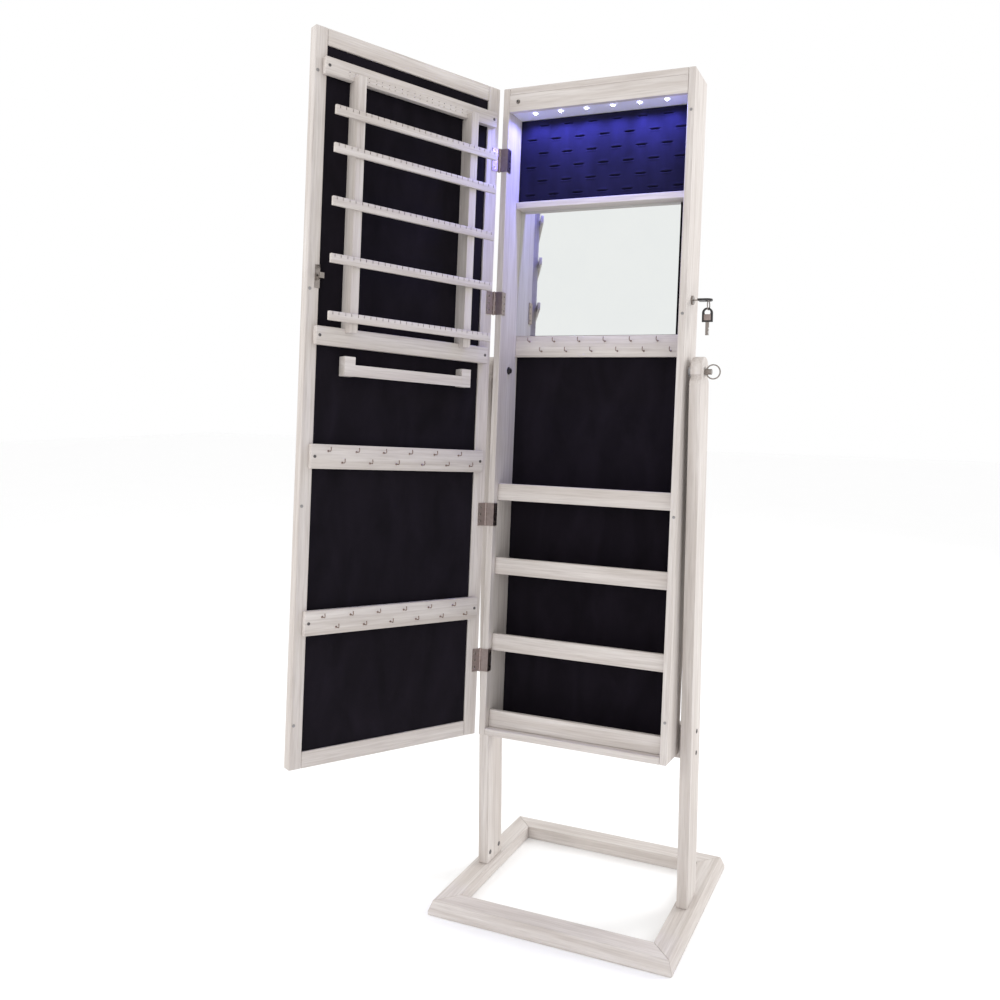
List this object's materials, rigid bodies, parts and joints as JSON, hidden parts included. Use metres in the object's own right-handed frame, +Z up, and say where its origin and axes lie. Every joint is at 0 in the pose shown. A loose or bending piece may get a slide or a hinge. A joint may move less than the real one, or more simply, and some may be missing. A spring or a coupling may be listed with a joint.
{
  "type": "jewelry armoire",
  "caption": "Free-standing jewelry armoire: a shallow tilting cabinet with a hinged mirror door, hooks, bars, trays and a ring pad, between posts on an open base.",
  "frame": {"origin": "on the floor, under the middle of the base's front rail", "axes": "+Z up, +X to the right as seen from the front, the front faces -Y"},
  "size_m": [0.6078, 0.605, 1.5258],
  "materials": {
    "whitewashed_wood": "matte whitewash with the grain showing",
    "black_velvet": "short pile",
    "silvered_glass": "polished",
    "nickel": "satin nickel plate",
    "bronzed_steel": "dark bronze",
    "lamp_plastic": "moulded",
    "key_plastic": "moulded"
  },
  "bodies": {
    "stand": {"base_rail_back": "whitewashed_wood", "base_rail_front": "whitewashed_wood", "base_rail_left": "whitewashed_wood", "base_rail_right": "whitewashed_wood", "post_left": "whitewashed_wood", "post_right": "whitewashed_wood", "post_stretcher": "whitewashed_wood"},
    "left_thumb_screw": {"thumb_screw_left": "nickel"},
    "right_thumb_screw": {"thumb_screw_right": "nickel"},
    "cabinet": {"cabinet_back": "whitewashed_wood", "cabinet_bottom": "whitewashed_wood", "cabinet_side_left": "whitewashed_wood", "cabinet_side_right": "whitewashed_wood", "cabinet_top": "whitewashed_wood", "hinge_1_cabinet_leaf": "bronzed_steel", "hinge_2_cabinet_leaf": "bronzed_steel", "hinge_3_cabinet_leaf": "bronzed_steel", "hinge_4_cabinet_leaf": "bronzed_steel", "inner_hook_board": "whitewashed_wood", "inner_mirror": "silvered_glass", "light_panel": "lamp_plastic", "light_valance": "whitewashed_wood", "lock_housing": "nickel", "ring_ledge": "whitewashed_wood", "ring_pad": "black_velvet", "shelf_2": "whitewashed_wood", "shelf_3": "whitewashed_wood", "shelf_4": "whitewashed_wood", "tray_lip_1": "whitewashed_wood", "tray_lip_2": "whitewashed_wood", "tray_lip_3": "whitewashed_wood", "tray_lip_4": "whitewashed_wood"},
    "door": {"bracelet_holder": "whitewashed_wood", "door_bottom_rail": "whitewashed_wood", "door_free_stile": "whitewashed_wood", "door_hinge_stile": "whitewashed_wood", "door_hook_board_lower": "whitewashed_wood", "door_hook_board_upper": "whitewashed_wood", "door_lined_board": "black_velvet", "door_mirror": "silvered_glass", "door_top_rail": "whitewashed_wood", "earring_bar_1": "whitewashed_wood", "earring_bar_2": "whitewashed_wood", "earring_bar_3": "whitewashed_wood", "earring_bar_4": "whitewashed_wood", "earring_bar_5": "whitewashed_wood", "earring_lower_board": "whitewashed_wood", "earring_top_board": "whitewashed_wood", "earring_upright_free_side": "whitewashed_wood", "earring_upright_hinge_side": "whitewashed_wood", "hinge_1_door_leaf": "bronzed_steel", "hinge_2_door_leaf": "bronzed_steel", "hinge_3_door_leaf": "bronzed_steel", "hinge_4_door_leaf": "bronzed_steel", "lock_strike": "nickel"},
    "lock": {"lock_plug": "nickel", "lock_cam": "nickel", "key": "key_plastic"},
    "spare_key_body": {"spare_key": "key_plastic"},
    "light_switch": {"light_switch_plunger": "nickel"}
  },
  "joints": [
    {"name": "cabinet_tilt", "type": "hinge", "parent": "stand", "child": "cabinet", "pos_m": [0, 0.1685, 0.986], "axis": [-1, 0, 0], "range_deg": [0, 16]},
    {"name": "door_swing", "type": "hinge", "parent": "cabinet", "child": "door", "pos_m": [-0.185, 0.12131, 0.9061], "axis": [0, 0.0698, 0.9976], "range_deg": [0, 117]},
    {"name": "left_thumb_screw_turn", "type": "hinge", "parent": "stand", "child": "left_thumb_screw", "pos_m": [-0.2105, 0.1685, 0.986], "axis": [1, 0, 0], "range_deg": [-180, 180]},
    {"name": "right_thumb_screw_turn", "type": "hinge", "parent": "stand", "child": "right_thumb_screw", "pos_m": [0.2105, 0.1685, 0.986], "axis": [1, 0, 0], "range_deg": [-180, 180]},
    {"name": "lock_turn", "type": "hinge", "parent": "cabinet", "child": "lock", "pos_m": [0.182, 0.17519, 1.11034], "axis": [1, 0, 0], "range_deg": [0, 90]},
    {"name": "spare_key_swing", "type": "hinge", "parent": "cabinet", "child": "spare_key_body", "pos_m": [0.2105, 0.17519, 1.11034], "axis": [1, 0, 0], "range_deg": [-60, 60]},
    {"name": "light_switch_press", "type": "slide", "parent": "cabinet", "child": "light_switch", "axis": [0, 0.9976, -0.0698], "range_m": [0, 0.002], "stiffness_N_per_m": 200}
  ]
}
